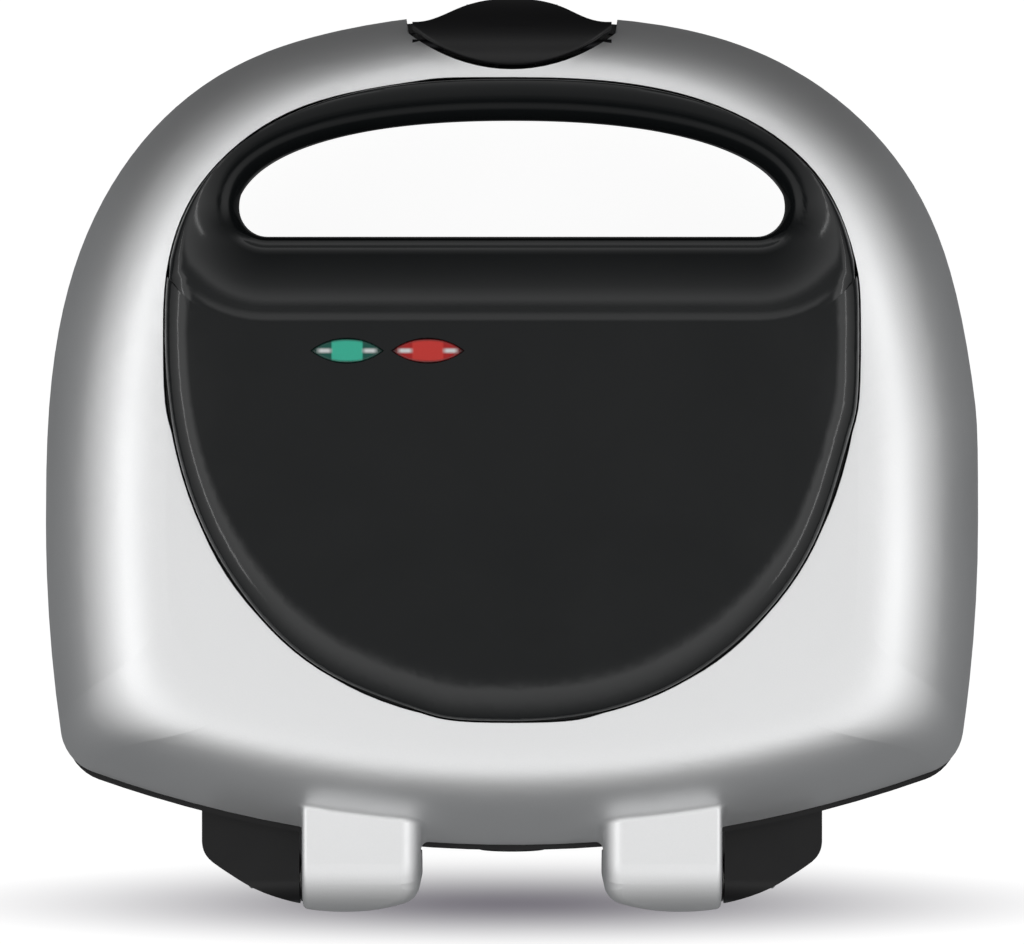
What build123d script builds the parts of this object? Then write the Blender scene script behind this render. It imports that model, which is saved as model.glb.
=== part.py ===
from build123d import *
from math import atan2, cos, degrees, hypot, pi, sin, sqrt
import os

# A clamshell sandwich toaster for two sandwiches, lying closed on its feet.
# Millimetres, +Z up. The latch and the carrying handle are at -Y, the hinge at +Y,
# and the origin is under the middle of the toaster, on the plane of its feet.

# Outline of the housing, seen from above
HALF_WIDTH = 125.0
FRONT_Y = -118.0
WIDEST_Y = 17.4
REAR_Y = 104.0
FRONT_POWER = 2.7
SIDE_RADIUS = 397.0
REAR_RADIUS = 332.0
CORNER_RADIUS = 13.0
CORNER_GROWTH = 0.35

# Heights
FOOT_HEIGHT = 6.0
PARTING_Z = 46.5
RIM_GAP = 1.0
LID_RISE = 38.0
BASE_DEPTH = PARTING_Z - RIM_GAP / 2 - FOOT_HEIGHT

# Mouldings
WALL = 2.6
FIT = 0.3
SEAM = 0.5
LOFT_STEPS = 7
OVAL_STEPS = 6

# How far each shell leans in from its rim to its flat: side, front, rear
LID_RUN = (35.0, 20.0, 35.0)
LID_DRAFT = (6.0, 2.0, 15.0)
LID_POWER = (2.6, 2.5, 5.0)
BASE_RUN = (26.0, 62.0, 18.0)
BASE_DRAFT = (2.0, 1.0, 4.0)
BASE_POWER = (2.3, 2.0, 2.4)
BASE_SETBACK = 1.0
REAR_LIP = 1.5

# Handle panel let into the lid
PANEL_SIDE_MARGIN = 34.7
PANEL_FRONT_Y = -98.2
PANEL_WIDEST_Y = -32.8
PANEL_REAR_Y = 68.8
PANEL_FRONT_POWER = 2.55
PANEL_REAR_POWER = 2.18
PANEL_RISE = 5.0
PANEL_RUN = (6.5, 5.0, 14.0)
PANEL_DRAFT = (0.0, 0.0, 0.0)
PANEL_POWER = (2.2, 2.0, 2.2)
PANEL_STEPS = 4
FLANGE_REACH = (3.0, 1.0, 3.0)
FLANGE_THICK = 1.8
PANEL_SKIRT = 7.0
LENS_PLAY = 0.15

# Finger hole of the carrying handle
HOLE_SIDE_MARGIN = 16.8
HOLE_FRONT_Y = -89.6
BASE_HOLE_FRONT_Y = -91.7
HOLE_REAR_Y = -57.0
HOLE_FRONT_RADIUS = 204.0
HOLE_FRONT_CORNER = 16.0
HOLE_REAR_CORNER = 7.0
GRIP_REACH = 5.3
GRIP_SINK = 0.8
GRIP_ROUND = 2.4
DISH_REACH = 4.0
DISH_RUN = 17.0
DISH_DEPTH = 6.0
DISH_POWER = 2.0
DISH_LEAN = 0.1
DISH_STEPS = 6
DISH_OVERRUN = 1.5

# Cooking plates
PLATE_SIDE_MARGIN = 17.0
PLATE_FRONT_Y = -50.0
PLATE_REAR_Y = 78.0
PLATE_CORNER = 14.0
PLATE_GAP = 0.3
PLATE_THICK = 3.0
PLATE_SETBACK = 0.4
PLATE_MARGIN = 9.0
MIDDLE_RIB = 5.0
RIDGE_HEIGHT = 1.2
RIDGE_WIDTH = 2.4
CUT_RIB = 6.0
POCKET_DEPTH = 13.0
POCKET_TAPER = 25.0
POCKET_CORNER = 7.0
PILLAR_RADIUS = 4.0
PILLAR_YS = (-8.0, 40.0)
PLATE_SCREW_INSET = 7.0
PLATE_SCREW_HEAD = 2.6
PLATE_SCREW_SINK = 1.3
PLATE_SCREW_LENGTH = 12.0
PAD_RADIUS = 10.0
PAD_Y = 16.0

# Heating elements and what backs them
HEATER_RADIUS = 3.25
HEATER_SIDE_MARGIN = 30.0
HEATER_FRONT_MARGIN = 24.0
HEATER_REAR_MARGIN = 26.0
HEATER_TAIL_X = 14.0
HEATER_TAIL = 14.0
HEATER_BEND = 12.0
TRAY_SIDE_MARGIN = 16.0
TRAY_END_MARGIN = 10.0
TRAY_THICK = 1.0
TRAY_RIM = 6.0
TRAY_CORNER = 10.0

# Hinge
HINGE_Y = 114.0
HINGE_Z = 32.0
HUB_RADIUS = 7.5
ARM_INNER_X = 24.4
ARM_WIDTH = 31.2
ARM_TOP_Z = 66.0
ARM_END_ROUND = 14.0
ARM_INNER_ROUND = 6.0
ARM_BOW_RADIUS = 50.0
ARM_BOW_X = 44.7
ARM_BOW_SETBACK = 0.2
ARM_OUTER_ROUND = 1.5
ARM_BLEND = 2.0
ARM_ROOT_DEPTH = 24.0
ARM_END_WALL = 4.0
HINGE_SIDE_GAP = 1.8
LUG_WIDTH = 26.3
LUG_RADIUS = 7.0
LUG_CORNER_Y = 103.4
LUG_CORNER_POINTS = ((4.9, 7.4), (14.3, 13.2))
LUG_ROOT_DEPTH = 10.0
LUG_ROOT_Z = 18.0
PIN_RADIUS = 3.0
PIN_RUNNING = 0.05
BUSH_RADIUS = 4.5
BUSH_FLANGE_RADIUS = 6.5
PIN_LENGTH = 34.0
PIN_IN_LUG = 14.0

# Latch
LATCH_HALF_WIDTH = 26.0
LATCH_SHOULDER = (0.5, 0.62)
LATCH_CREST = ((-5.5, 3.4), (1.5, 4.2), (9.0, -1.5))
LATCH_EDGE_ROUND = 0.8
LATCH_ROUNDED_LENGTH = 14.0
LATCH_TIP_Y = -120.8
LATCH_TIP_Z = 60.0
LATCH_END_Y = -113.5
LATCH_HEEL_Y = -111.6
LATCH_INNER_Y = -102.0
LATCH_GAP = 1.3
LATCH_HEEL_GAP = 0.6
LATCH_FLARE = 1.8
NOTCH_WALL = 1.2
LATCH_CAP_Z = 56.0
LATCH_PIN_Y = -107.5
LATCH_PIN_Z = 79.0
LATCH_PIN_RADIUS = 1.5
LATCH_PIN_HALF = 26.0
LATCH_BOSS_HALF = 3.5
LATCH_BOSS_WIDTH = 5.0
LATCH_BOSS_DROP = 4.0
SPRING_SLOT_HALF = 6.0
SPRING_SLOT_YS = (-5.0, 8.0)
SPRING_SLOT_ZS = (-7.0, 3.0)
LATCH_HUB_RADIUS = 5.3
LATCH_LOW_Z = 34.0
SPRING_WIRE = 0.9
SPRING_PLAY = 0.2
SPRING_PITCH = 1.7
SPRING_TURNS = 4
LEVER_LEG = 4.0
LID_LEG = 6.2
TONGUE_HALF_WIDTH = 12.0
TONGUE_INNER_Y = -116.8
TONGUE_THICK = 2.3
TONGUE_PLAY = 0.8
TONGUE_CHAMFER = 1.5
TONGUE_DROP = 9.5
TOOTH_REACH = 3.2
TOOTH_LOW_Z = 36.4
TOOTH_TOP_Z = 40.2
LIP_FRONT_Y = -113.2
LIP_LOW_Z = 41.0
LIP_DEPTH = 3.6
KEEPER_WALL = 2.0
KEEPER_FLOOR_Z = 30.0
KEEPER_POCKET_Z = 32.5

# Feet, cord inlet, screws
FOOT_RADIUS = 8.0
FOOT_SIDE_MARGIN = 43.0
FOOT_YS = (-30.0, 62.0)
FOOT_PEG_RADIUS = 3.0
INLET_Z = 24.0
CORD_RADIUS = 3.7
GLAND_RADIUS = 7.0
GLAND_LENGTH = 10.0
GLAND_COLLAR = 2.0
GLAND_REACH = 3.0
TERMINAL_SIZE = (30.0, 12.0, 11.0)
TERMINAL_Y = 70.0
TERMINAL_PITCH = 9.0
TERMINAL_BORE = 2.0
TERMINAL_SCREW_RADIUS = 1.8
THERMOSTAT_RADII = (8.0, 6.5)
THERMOSTAT_HEIGHTS = (5.0, 11.0)
SCREW_RADIUS = 1.5
SCREW_HEAD_RADIUS = 3.2
SCREW_HEAD_HEIGHT = 2.2
SCREW_SEAT = 5.0
SCREW_PLAY = 0.2
HEAD_PLAY = 0.6
BASE_SCREW_LENGTH = 13.0
LID_SCREW_HOLE = 16.0
POST_RADIUS = 4.5
FRONT_SCREW = (75.0, 19.0, 34.0)
REAR_SCREW = (47.0, 19.0, 26.0)

# Indicator lamps
LENS_HALF_LENGTH = 9.45
LENS_HALF_WIDTH = 3.25
LENS_Y = -27.4
POWER_LENS_X = 21.8
READY_LENS_X = 42.7
LAMP_RADIUS = 2.6
LAMP_LENGTH = 9.0
LENS_PROUD = 0.2
LENS_ROUND = 0.6
LENS_LIP = 0.7
LENS_LIP_THICK = 1.5
LENS_SEAT = 0.1
LAMP_GAP = 0.4
HOLDER_MARGIN = (9.0, 5.0)
HOLDER_HEIGHT = 6.3
HOLDER_DROP = 3.0
HOLDER_ROUND = 2.0

LID_EDGE_Z = PARTING_Z + RIM_GAP / 2
BASE_EDGE_Z = PARTING_Z - RIM_GAP / 2
LID_TOP_Z = LID_EDGE_Z + LID_RISE
PANEL_EDGE_Z = LID_TOP_Z
PANEL_TOP_Z = PANEL_EDGE_Z + PANEL_RISE
PLATE_FACE_Z = PARTING_Z - PLATE_GAP / 2
PLATE_BACK_Z = PLATE_FACE_Z - RIDGE_HEIGHT - PLATE_THICK
PLATE_PAD_Z = PLATE_FACE_Z - POCKET_DEPTH - PLATE_THICK
HEATER_Z = PLATE_PAD_Z - HEATER_RADIUS - FIT / 2
TRAY_TOP_Z = HEATER_Z - HEATER_RADIUS - FIT / 2
DECK_TOP_Z = BASE_EDGE_Z - 0.5
DECK_THICK = 2.2
RING_DEPTH = 8.0
RING_WALL = 1.6
RIM_SLACK = 0.2
LINER_LOW_Z = LID_EDGE_Z + 0.5
LINER_TOP_Z = LINER_LOW_Z + DECK_THICK
PANEL_HALF_WIDTH = HALF_WIDTH - PANEL_SIDE_MARGIN
HOLE_HALF_WIDTH = PANEL_HALF_WIDTH - HOLE_SIDE_MARGIN
PLATE_WIDTH = 2 * (HALF_WIDTH - PLATE_SIDE_MARGIN)
PLATE_MID_Y = (PLATE_FRONT_Y + PLATE_REAR_Y) / 2
HEATER_HALF_WIDTH = PLATE_WIDTH / 2 - HEATER_SIDE_MARGIN
HEATER_FRONT_Y = PLATE_FRONT_Y + HEATER_FRONT_MARGIN
HEATER_REAR_Y = PLATE_REAR_Y - HEATER_REAR_MARGIN
TRAY_WIDTH = PLATE_WIDTH - 2 * TRAY_SIDE_MARGIN
TRAY_DEPTH = PLATE_REAR_Y - PLATE_FRONT_Y - 2 * TRAY_END_MARGIN
FOOT_PLACES = [(HALF_WIDTH - FOOT_SIDE_MARGIN, y) for y in FOOT_YS]
HOUSING_SCREWS = ((HALF_WIDTH - FRONT_SCREW[0], FRONT_Y + FRONT_SCREW[1], FRONT_SCREW[2]),
                  (HALF_WIDTH - REAR_SCREW[0], REAR_Y - REAR_SCREW[1], REAR_SCREW[2]))
ARM_OUTER_X = ARM_INNER_X + ARM_WIDTH
LUG_INNER_X = ARM_OUTER_X + HINGE_SIDE_GAP
ARM_END_Y = HINGE_Y + HUB_RADIUS


def save(shape, name):
    export_step(shape, os.path.join("parts", name + ".step"))


def prism(face, low_z, high_z):
    return extrude(Pos(0, 0, low_z) * face, high_z - low_z, dir=(0, 0, 1))


def block(x, y, z):
    """A box from its three (low, high) spans."""
    size = [high - low for low, high in (x, y, z)]
    middle = [(high + low) / 2 for low, high in (x, y, z)]
    return Pos(*middle) * Box(*size)


def post(x, y, low_z, high_z, radius):
    return Pos(x, y, (low_z + high_z) / 2) * Cylinder(radius, high_z - low_z)


def rod_x(low_x, high_x, y, z, radius):
    middle = Pos((low_x + high_x) / 2, y, z)
    return middle * Rot(0, 90, 0) * Cylinder(radius, high_x - low_x)


def rod_y(low_y, high_y, x, z, radius):
    middle = Pos(x, (low_y + high_y) / 2, z)
    return middle * Rot(90, 0, 0) * Cylinder(radius, high_y - low_y)


def joined(shapes):
    whole = shapes[0]
    for shape in shapes[1:]:
        whole += shape
    return whole


def both_sides(shape):
    return shape + mirror(shape, Plane.YZ)


def half_oval(half_width, reach, power, centre_y, toward):
    """Half of a superellipse, from +X round to -X, as two mirrored quarters."""
    points = []
    for step in range(OVAL_STEPS + 1):
        turn = pi / 2 * step / OVAL_STEPS
        swell = (abs(cos(turn)) ** power + sin(turn) ** power) ** (-1 / power)
        points.append((half_width * cos(turn) * swell, centre_y + toward * reach * sin(turn) * swell))
    right = Spline(*points, tangents=[(0, toward), (-1, 0)])
    left = Spline(*[(-x, y) for x, y in reversed(points)], tangents=[(-1, 0), (0, -toward)])
    return [right, left]


def outline(side, front, rear):
    """The housing's outline, drawn in by these amounts."""
    half = HALF_WIDTH - side
    front_edge = half_oval(half, WIDEST_Y - FRONT_Y - front, FRONT_POWER, WIDEST_Y, -1)
    side_radius = SIDE_RADIUS - side
    side_x = HALF_WIDTH - SIDE_RADIUS
    rear_radius = REAR_RADIUS - rear
    rear_y = REAR_Y - REAR_RADIUS
    apart = hypot(side_x, rear_y - WIDEST_Y)
    along = (side_radius**2 - rear_radius**2 + apart**2) / (2 * apart)
    across = sqrt(side_radius**2 - along**2)
    unit_x = -side_x / apart
    unit_y = (rear_y - WIDEST_Y) / apart
    corner_x = side_x + along * unit_x - across * unit_y
    corner_y = WIDEST_Y + along * unit_y + across * unit_x
    turn = atan2(corner_y - WIDEST_Y, corner_x - side_x) / 2
    mid_x = side_x + side_radius * cos(turn)
    mid_y = WIDEST_Y + side_radius * sin(turn)
    right = ThreePointArc((half, WIDEST_Y), (mid_x, mid_y), (corner_x, corner_y))
    back = ThreePointArc((corner_x, corner_y), (0, REAR_Y - rear), (-corner_x, corner_y))
    left = ThreePointArc((-corner_x, corner_y), (-mid_x, mid_y), (-half, WIDEST_Y))
    face = make_face([*front_edge, left, back, right])
    corners = face.vertices().sort_by(Axis.Y)[-2:]
    return fillet(corners, CORNER_RADIUS + CORNER_GROWTH * max(side, 0))


def panel_outline(side, front, rear):
    """The handle panel's outline, drawn in by these amounts."""
    half = PANEL_HALF_WIDTH - side
    reach = PANEL_WIDEST_Y - PANEL_FRONT_Y - front
    front_edge = half_oval(half, reach, PANEL_FRONT_POWER, PANEL_WIDEST_Y, -1)
    reach = PANEL_REAR_Y - PANEL_WIDEST_Y - rear
    rear_edge = half_oval(half, reach, PANEL_REAR_POWER, PANEL_WIDEST_Y, 1)
    return make_face([*front_edge, *rear_edge])


def lean(height, draft, run, power):
    """How far in a wall has come at this share of its height."""
    bulge = max(0.0, 1 - height**power) ** (1 / power)
    return draft * height + (run - draft) * (1 - bulge)


def bowl(plan, edge_z, rise, runs, drafts, powers, insets, steps):
    """A solid whose plan shrinks from its rim to its flat along three curves."""
    sections = []
    for step in range(steps + 1):
        height = sin(pi / 2 * step / steps)
        leans = [lean(height, *wall) for wall in zip(drafts, runs, powers)]
        face = plan(*[inset + amount for inset, amount in zip(insets, leans)])
        sections.append(Pos(0, 0, edge_z + rise * height) * face)
    return loft(sections)


def lid_solid(offset=0.0):
    insets = (offset, offset, offset)
    rise = LID_RISE - offset
    return bowl(outline, LID_EDGE_Z, rise, LID_RUN, LID_DRAFT, LID_POWER, insets, LOFT_STEPS)


def base_insets(offset):
    return (BASE_SETBACK + offset, BASE_SETBACK + offset, offset - REAR_LIP)


def base_solid(offset=0.0):
    rise = offset - BASE_DEPTH
    insets = base_insets(offset)
    return bowl(outline, BASE_EDGE_Z, rise, BASE_RUN, BASE_DRAFT, BASE_POWER, insets, LOFT_STEPS)


def hole_outline(grow=0.0, front_y=HOLE_FRONT_Y):
    """The finger hole, with a bowed front edge and a straight rear edge."""
    half = HOLE_HALF_WIDTH + grow
    front = front_y - grow
    rear = HOLE_REAR_Y + grow
    radius = HOLE_FRONT_RADIUS + grow
    corner_y = front + radius - sqrt(radius**2 - half**2)
    bow = ThreePointArc((-half, corner_y), (0, front), (half, corner_y))
    sides = Polyline((half, corner_y), (half, rear), (-half, rear), (-half, corner_y))
    corners = make_face([bow, *sides.edges()]).vertices().sort_by(Axis.Y)
    face = fillet(corners[:2], HOLE_FRONT_CORNER + grow)
    return fillet(face.vertices().sort_by(Axis.Y)[-2:], HOLE_REAR_CORNER + grow)


def latch_outline(grow=0.0):
    """The latch from above: a bell-shaped front, blunt ends and a round back."""
    half = LATCH_HALF_WIDTH + grow
    back = ThreePointArc((half, LATCH_HEEL_Y), (0, LATCH_INNER_Y + grow), (-half, LATCH_HEEL_Y))
    shoulder_x = half * LATCH_SHOULDER[0]
    shoulder_y = LATCH_END_Y + (LATCH_TIP_Y - LATCH_END_Y) * LATCH_SHOULDER[1]
    points = [(-half, LATCH_END_Y), (-shoulder_x, shoulder_y), (0, LATCH_TIP_Y)]
    points += [(shoulder_x, shoulder_y), (half, LATCH_END_Y)]
    front = Spline(*points, tangents=[(1, 0.05), (1, -0.05)])
    ends = [Line((side * half, LATCH_END_Y), (side * half, LATCH_HEEL_Y)) for side in (1, -1)]
    return make_face([front, back, *ends])


def latch_notch(grow):
    """The opening that the latch lies in, flared towards the front of the lid."""
    half = LATCH_HALF_WIDTH + grow
    front_y = FRONT_Y - 5
    heel_y = LATCH_HEEL_Y + LATCH_HEEL_GAP
    back = ThreePointArc((half, heel_y), (0, LATCH_INNER_Y + grow), (-half, heel_y))
    flare = half + LATCH_FLARE
    ahead = Polyline((-half, heel_y), (-flare, front_y), (flare, front_y), (half, heel_y))
    return make_face([back, *ahead.edges()])


def plate_outline(grow=0.0):
    width = PLATE_WIDTH + 2 * grow
    depth = PLATE_REAR_Y - PLATE_FRONT_Y + 2 * grow
    return Pos(0, PLATE_MID_Y) * RectangleRounded(width, depth, PLATE_CORNER + grow)


def plate_screw_places():
    x = PLATE_WIDTH / 2 - PLATE_SCREW_INSET
    return [(x, PLATE_FRONT_Y + PLATE_SCREW_INSET), (x, PLATE_REAR_Y - PLATE_SCREW_INSET)]


def pocket_faces():
    """The four triangles that a plate's two squares are cut into."""
    width = PLATE_WIDTH / 2 - PLATE_MARGIN - MIDDLE_RIB
    depth = PLATE_REAR_Y - PLATE_FRONT_Y - 2 * PLATE_MARGIN
    middle_x = MIDDLE_RIB + width / 2
    slant = degrees(atan2(depth, width))
    cut = Rot(0, 0, slant) * Rectangle(2 * hypot(width, depth), CUT_RIB)
    triangles = Rectangle(width, depth) - cut
    rounded = Pos(middle_x, PLATE_MID_Y) * fillet(triangles.vertices(), POCKET_CORNER)
    return rounded.faces() + mirror(rounded, Plane.YZ).faces()


def cooking_plate():
    """One cast plate with its cooking face up, as it lies in the base."""
    plate = prism(plate_outline(), PLATE_BACK_Z, PLATE_FACE_Z - RIDGE_HEIGHT)
    pockets = pocket_faces()
    for face in pockets:
        lump = offset(face, PLATE_THICK)
        plate += extrude(Pos(0, 0, PLATE_FACE_Z - RIDGE_HEIGHT) * lump,
                         PLATE_FACE_Z - RIDGE_HEIGHT - PLATE_PAD_Z, dir=(0, 0, -1), taper=POCKET_TAPER)
        plate += prism(offset(face, RIDGE_WIDTH), PLATE_BACK_Z, PLATE_FACE_Z)
    for y in PILLAR_YS:
        plate += post(0, y, TRAY_TOP_Z, PLATE_BACK_Z + 1, PILLAR_RADIUS)
    plate += post(0, PAD_Y, PLATE_PAD_Z, PLATE_BACK_Z + 1, PAD_RADIUS)
    for face in pockets:
        plate -= extrude(Pos(0, 0, PLATE_FACE_Z) * face, POCKET_DEPTH, dir=(0, 0, -1), taper=POCKET_TAPER)
    for x, y in plate_screw_places():
        head_z = PLATE_FACE_Z - RIDGE_HEIGHT
        plate -= both_sides(plate_screw(x, y, head_z, 0.1))
    for y in PILLAR_YS:
        plate -= post(0, y, TRAY_TOP_Z - 1, TRAY_TOP_Z + 9, SCREW_RADIUS)
    return plate


def plate_screw(x, y, head_z, grow=0.0):
    """A countersunk screw driven down through a plate into its post."""
    low_z = head_z - PLATE_SCREW_SINK
    sink = Cone(SCREW_RADIUS + grow, PLATE_SCREW_HEAD + grow, PLATE_SCREW_SINK)
    shank = post(x, y, low_z - PLATE_SCREW_LENGTH, low_z + 0.1, SCREW_RADIUS + grow)
    return Pos(x, y, (low_z + head_z) / 2) * sink + shank


def over(shape):
    """The same piece turned over into the lid."""
    return mirror(shape, Plane.XY.offset(PARTING_Z))


def heater():
    rear = HEATER_REAR_Y
    wide = HEATER_HALF_WIDTH
    tail = HEATER_TAIL_X
    half = [(tail, rear + HEATER_TAIL), (tail, rear), (wide, rear), (wide, HEATER_FRONT_Y)]
    route = half + [(-x, y) for x, y in reversed(half)]
    path = FilletPolyline(*route, radius=HEATER_BEND)
    start = Plane(path @ 0, z_dir=path % 0)
    return Pos(0, 0, HEATER_Z) * sweep(start * Circle(HEATER_RADIUS), path=path)


def reflector():
    """Pressed tray behind a heater, held to the plate's pillars."""
    outer = Pos(0, PLATE_MID_Y) * RectangleRounded(TRAY_WIDTH, TRAY_DEPTH, TRAY_CORNER)
    thick = 2 * TRAY_THICK
    inner = RectangleRounded(TRAY_WIDTH - thick, TRAY_DEPTH - thick, TRAY_CORNER - TRAY_THICK)
    tray = prism(outer, TRAY_TOP_Z - TRAY_THICK, TRAY_TOP_Z + TRAY_RIM)
    tray -= prism(Pos(0, PLATE_MID_Y) * inner, TRAY_TOP_Z, TRAY_TOP_Z + TRAY_RIM + 1)
    for y in PILLAR_YS:
        tray -= post(0, y, TRAY_TOP_Z - 2, TRAY_TOP_Z + 1, SCREW_RADIUS + 0.2)
    return tray - post(0, PAD_Y, TRAY_TOP_Z - 2, TRAY_TOP_Z + 1, PAD_RADIUS + 1)


def screw(x, y, seat_z, length, head_radius=SCREW_HEAD_RADIUS):
    """A pan-head screw driven upwards from its seat."""
    head = post(x, y, seat_z - SCREW_HEAD_HEIGHT, seat_z, head_radius)
    head = chamfer(head.edges().sort_by(Axis.Z)[0], SCREW_HEAD_HEIGHT / 3)
    return head + post(x, y, seat_z - 0.1, seat_z + length, SCREW_RADIUS)


def arm_profile():
    """Side view of a lid arm: its hub, its rounded end and its root in the lid."""
    front_y = HINGE_Y - HUB_RADIUS
    root_y = REAR_Y - ARM_ROOT_DEPTH
    corners = [(front_y, HINGE_Z), (front_y, LID_EDGE_Z), (root_y, LID_EDGE_Z), (root_y, ARM_TOP_Z)]
    corners += [(ARM_END_Y, ARM_TOP_Z), (ARM_END_Y, HINGE_Z), (front_y, HINGE_Z)]
    side = make_face(Polyline(*corners))
    side = fillet(side.vertices().sort_by_distance((ARM_END_Y, ARM_TOP_Z))[0], ARM_END_ROUND)
    return Plane.YZ * (side + Pos(HINGE_Y, HINGE_Z) * Circle(HUB_RADIUS))


def arm_bow_y(x):
    """Where the bowed end of an arm lies at this distance from the middle."""
    drop = ARM_BOW_RADIUS - sqrt(ARM_BOW_RADIUS**2 - (x - ARM_BOW_X) ** 2)
    return ARM_END_Y - ARM_BOW_SETBACK - drop


def arm_plan():
    """A lid arm from above, with its end bowed and its inner corner round."""
    inner = (ARM_INNER_X, arm_bow_y(ARM_INNER_X))
    outer = (ARM_OUTER_X, arm_bow_y(ARM_OUTER_X))
    bow = ThreePointArc(inner, (ARM_BOW_X, arm_bow_y(ARM_BOW_X)), outer)
    root_y = REAR_Y - ARM_ROOT_DEPTH - 1
    sides = Polyline(outer, (ARM_OUTER_X, root_y), (ARM_INNER_X, root_y), inner)
    plan = make_face([bow, *sides.edges()])
    return fillet(plan.vertices().sort_by_distance(inner)[0], ARM_INNER_ROUND)


def lid_arm():
    arm = extrude(arm_profile(), ARM_OUTER_X + 1, dir=(1, 0, 0))
    arm &= prism(arm_plan(), 0, LID_TOP_Z)
    inner_edge = arm.edges().filter_by(Axis.Y).sort_by_distance((ARM_INNER_X, REAR_Y, ARM_TOP_Z))[0]
    arm = fillet(inner_edge, ARM_INNER_ROUND - 1)
    outer_edges = [edge for edge in arm.edges() if edge.bounding_box().min.X > ARM_OUTER_X - 0.01
                   and edge.center().Z > LID_EDGE_Z + ARM_OUTER_ROUND]
    arm = fillet(outer_edges, ARM_OUTER_ROUND)
    return arm - rod_x(ARM_INNER_X + ARM_END_WALL, ARM_OUTER_X + 1, HINGE_Y, HINGE_Z, BUSH_RADIUS)


def lid_body():
    """The lid's outer form, with both arms blended into it."""
    dome = lid_solid()
    arms = both_sides(lid_arm())
    body = dome + arms
    seams = new_edges(dome, arms, combined=body)
    roots = [edge for edge in seams if edge.center().Z > LID_EDGE_Z + ARM_BLEND]
    return fillet(roots, ARM_BLEND)


def lid_cover():
    """Painted lid shell with both hinge arms, and posts for plate and liner."""
    plate_z = over_z(PLATE_BACK_Z)
    inside = [post(x, y, plate_z, LID_TOP_Z, PILLAR_RADIUS) for x, y in plate_screw_places()]
    inside += [post(x, y, LINER_TOP_Z, LID_TOP_Z, POST_RADIUS) for x, y, _ in HOUSING_SCREWS]
    boss_x = (LATCH_PIN_HALF - LATCH_BOSS_WIDTH, LATCH_PIN_HALF + KEEPER_WALL)
    boss_y = (LATCH_PIN_Y - LATCH_BOSS_HALF, LATCH_PIN_Y + LATCH_BOSS_HALF)
    inside.append(block(boss_x, boss_y, (LATCH_PIN_Z - LATCH_BOSS_DROP, LID_TOP_Z)))
    inside.append(prism(latch_notch(LATCH_GAP + NOTCH_WALL), LID_EDGE_Z - 1, LID_TOP_Z))
    cover = lid_body() - (lid_solid(WALL) - both_sides(joined(inside)))
    deep_z = plate_z + PLATE_SCREW_LENGTH
    holes = [post(x, y, plate_z - 1, deep_z, SCREW_RADIUS) for x, y in plate_screw_places()]
    deep_z = LID_EDGE_Z + LID_SCREW_HOLE
    holes += [post(x, y, LID_EDGE_Z, deep_z, SCREW_RADIUS) for x, y, _ in HOUSING_SCREWS]
    holes.append(prism(latch_notch(LATCH_GAP), LID_EDGE_Z - 2, LID_TOP_Z + 1))
    pin_hole = LATCH_PIN_RADIUS + PIN_RUNNING
    holes.append(rod_x(-LATCH_PIN_HALF, LATCH_PIN_HALF, LATCH_PIN_Y, LATCH_PIN_Z, pin_hole))
    holes.append(prism(panel_outline(-SEAM, -SEAM, -SEAM), LID_TOP_Z - PANEL_SKIRT - 1, LID_TOP_Z + 1))
    return cover - both_sides(joined(holes))


def over_z(z):
    return 2 * PARTING_Z - z


def lens_face(grow=0.0):
    half = LENS_HALF_LENGTH + grow
    high = LENS_HALF_WIDTH + grow
    upper = ThreePointArc((-half, 0), (0, high), (half, 0))
    lower = ThreePointArc((half, 0), (0, -high), (-half, 0))
    return make_face([upper, lower])


def lens_places():
    return {"power": POWER_LENS_X, "ready": READY_LENS_X}


def panel_crown(offset=0.0):
    insets = (offset, offset, offset)
    rise = PANEL_RISE - offset
    return bowl(panel_outline, PANEL_EDGE_Z, rise, PANEL_RUN, PANEL_DRAFT, PANEL_POWER, insets, PANEL_STEPS)


def dish(drop=0.0):
    """The space over the dip that rolls down from the field to the foot of the grip."""
    sections = []
    for step in range(DISH_STEPS + 1):
        share = DISH_OVERRUN * step / DISH_STEPS
        left = 1 - share
        fall = DISH_DEPTH * ((1 - DISH_LEAN) * max(left, 0) ** DISH_POWER + DISH_LEAN * left)
        sections.append(Pos(0, 0, PANEL_TOP_Z - fall - drop) * hole_outline(DISH_REACH + DISH_RUN * share))
    return loft(sections)


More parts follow.
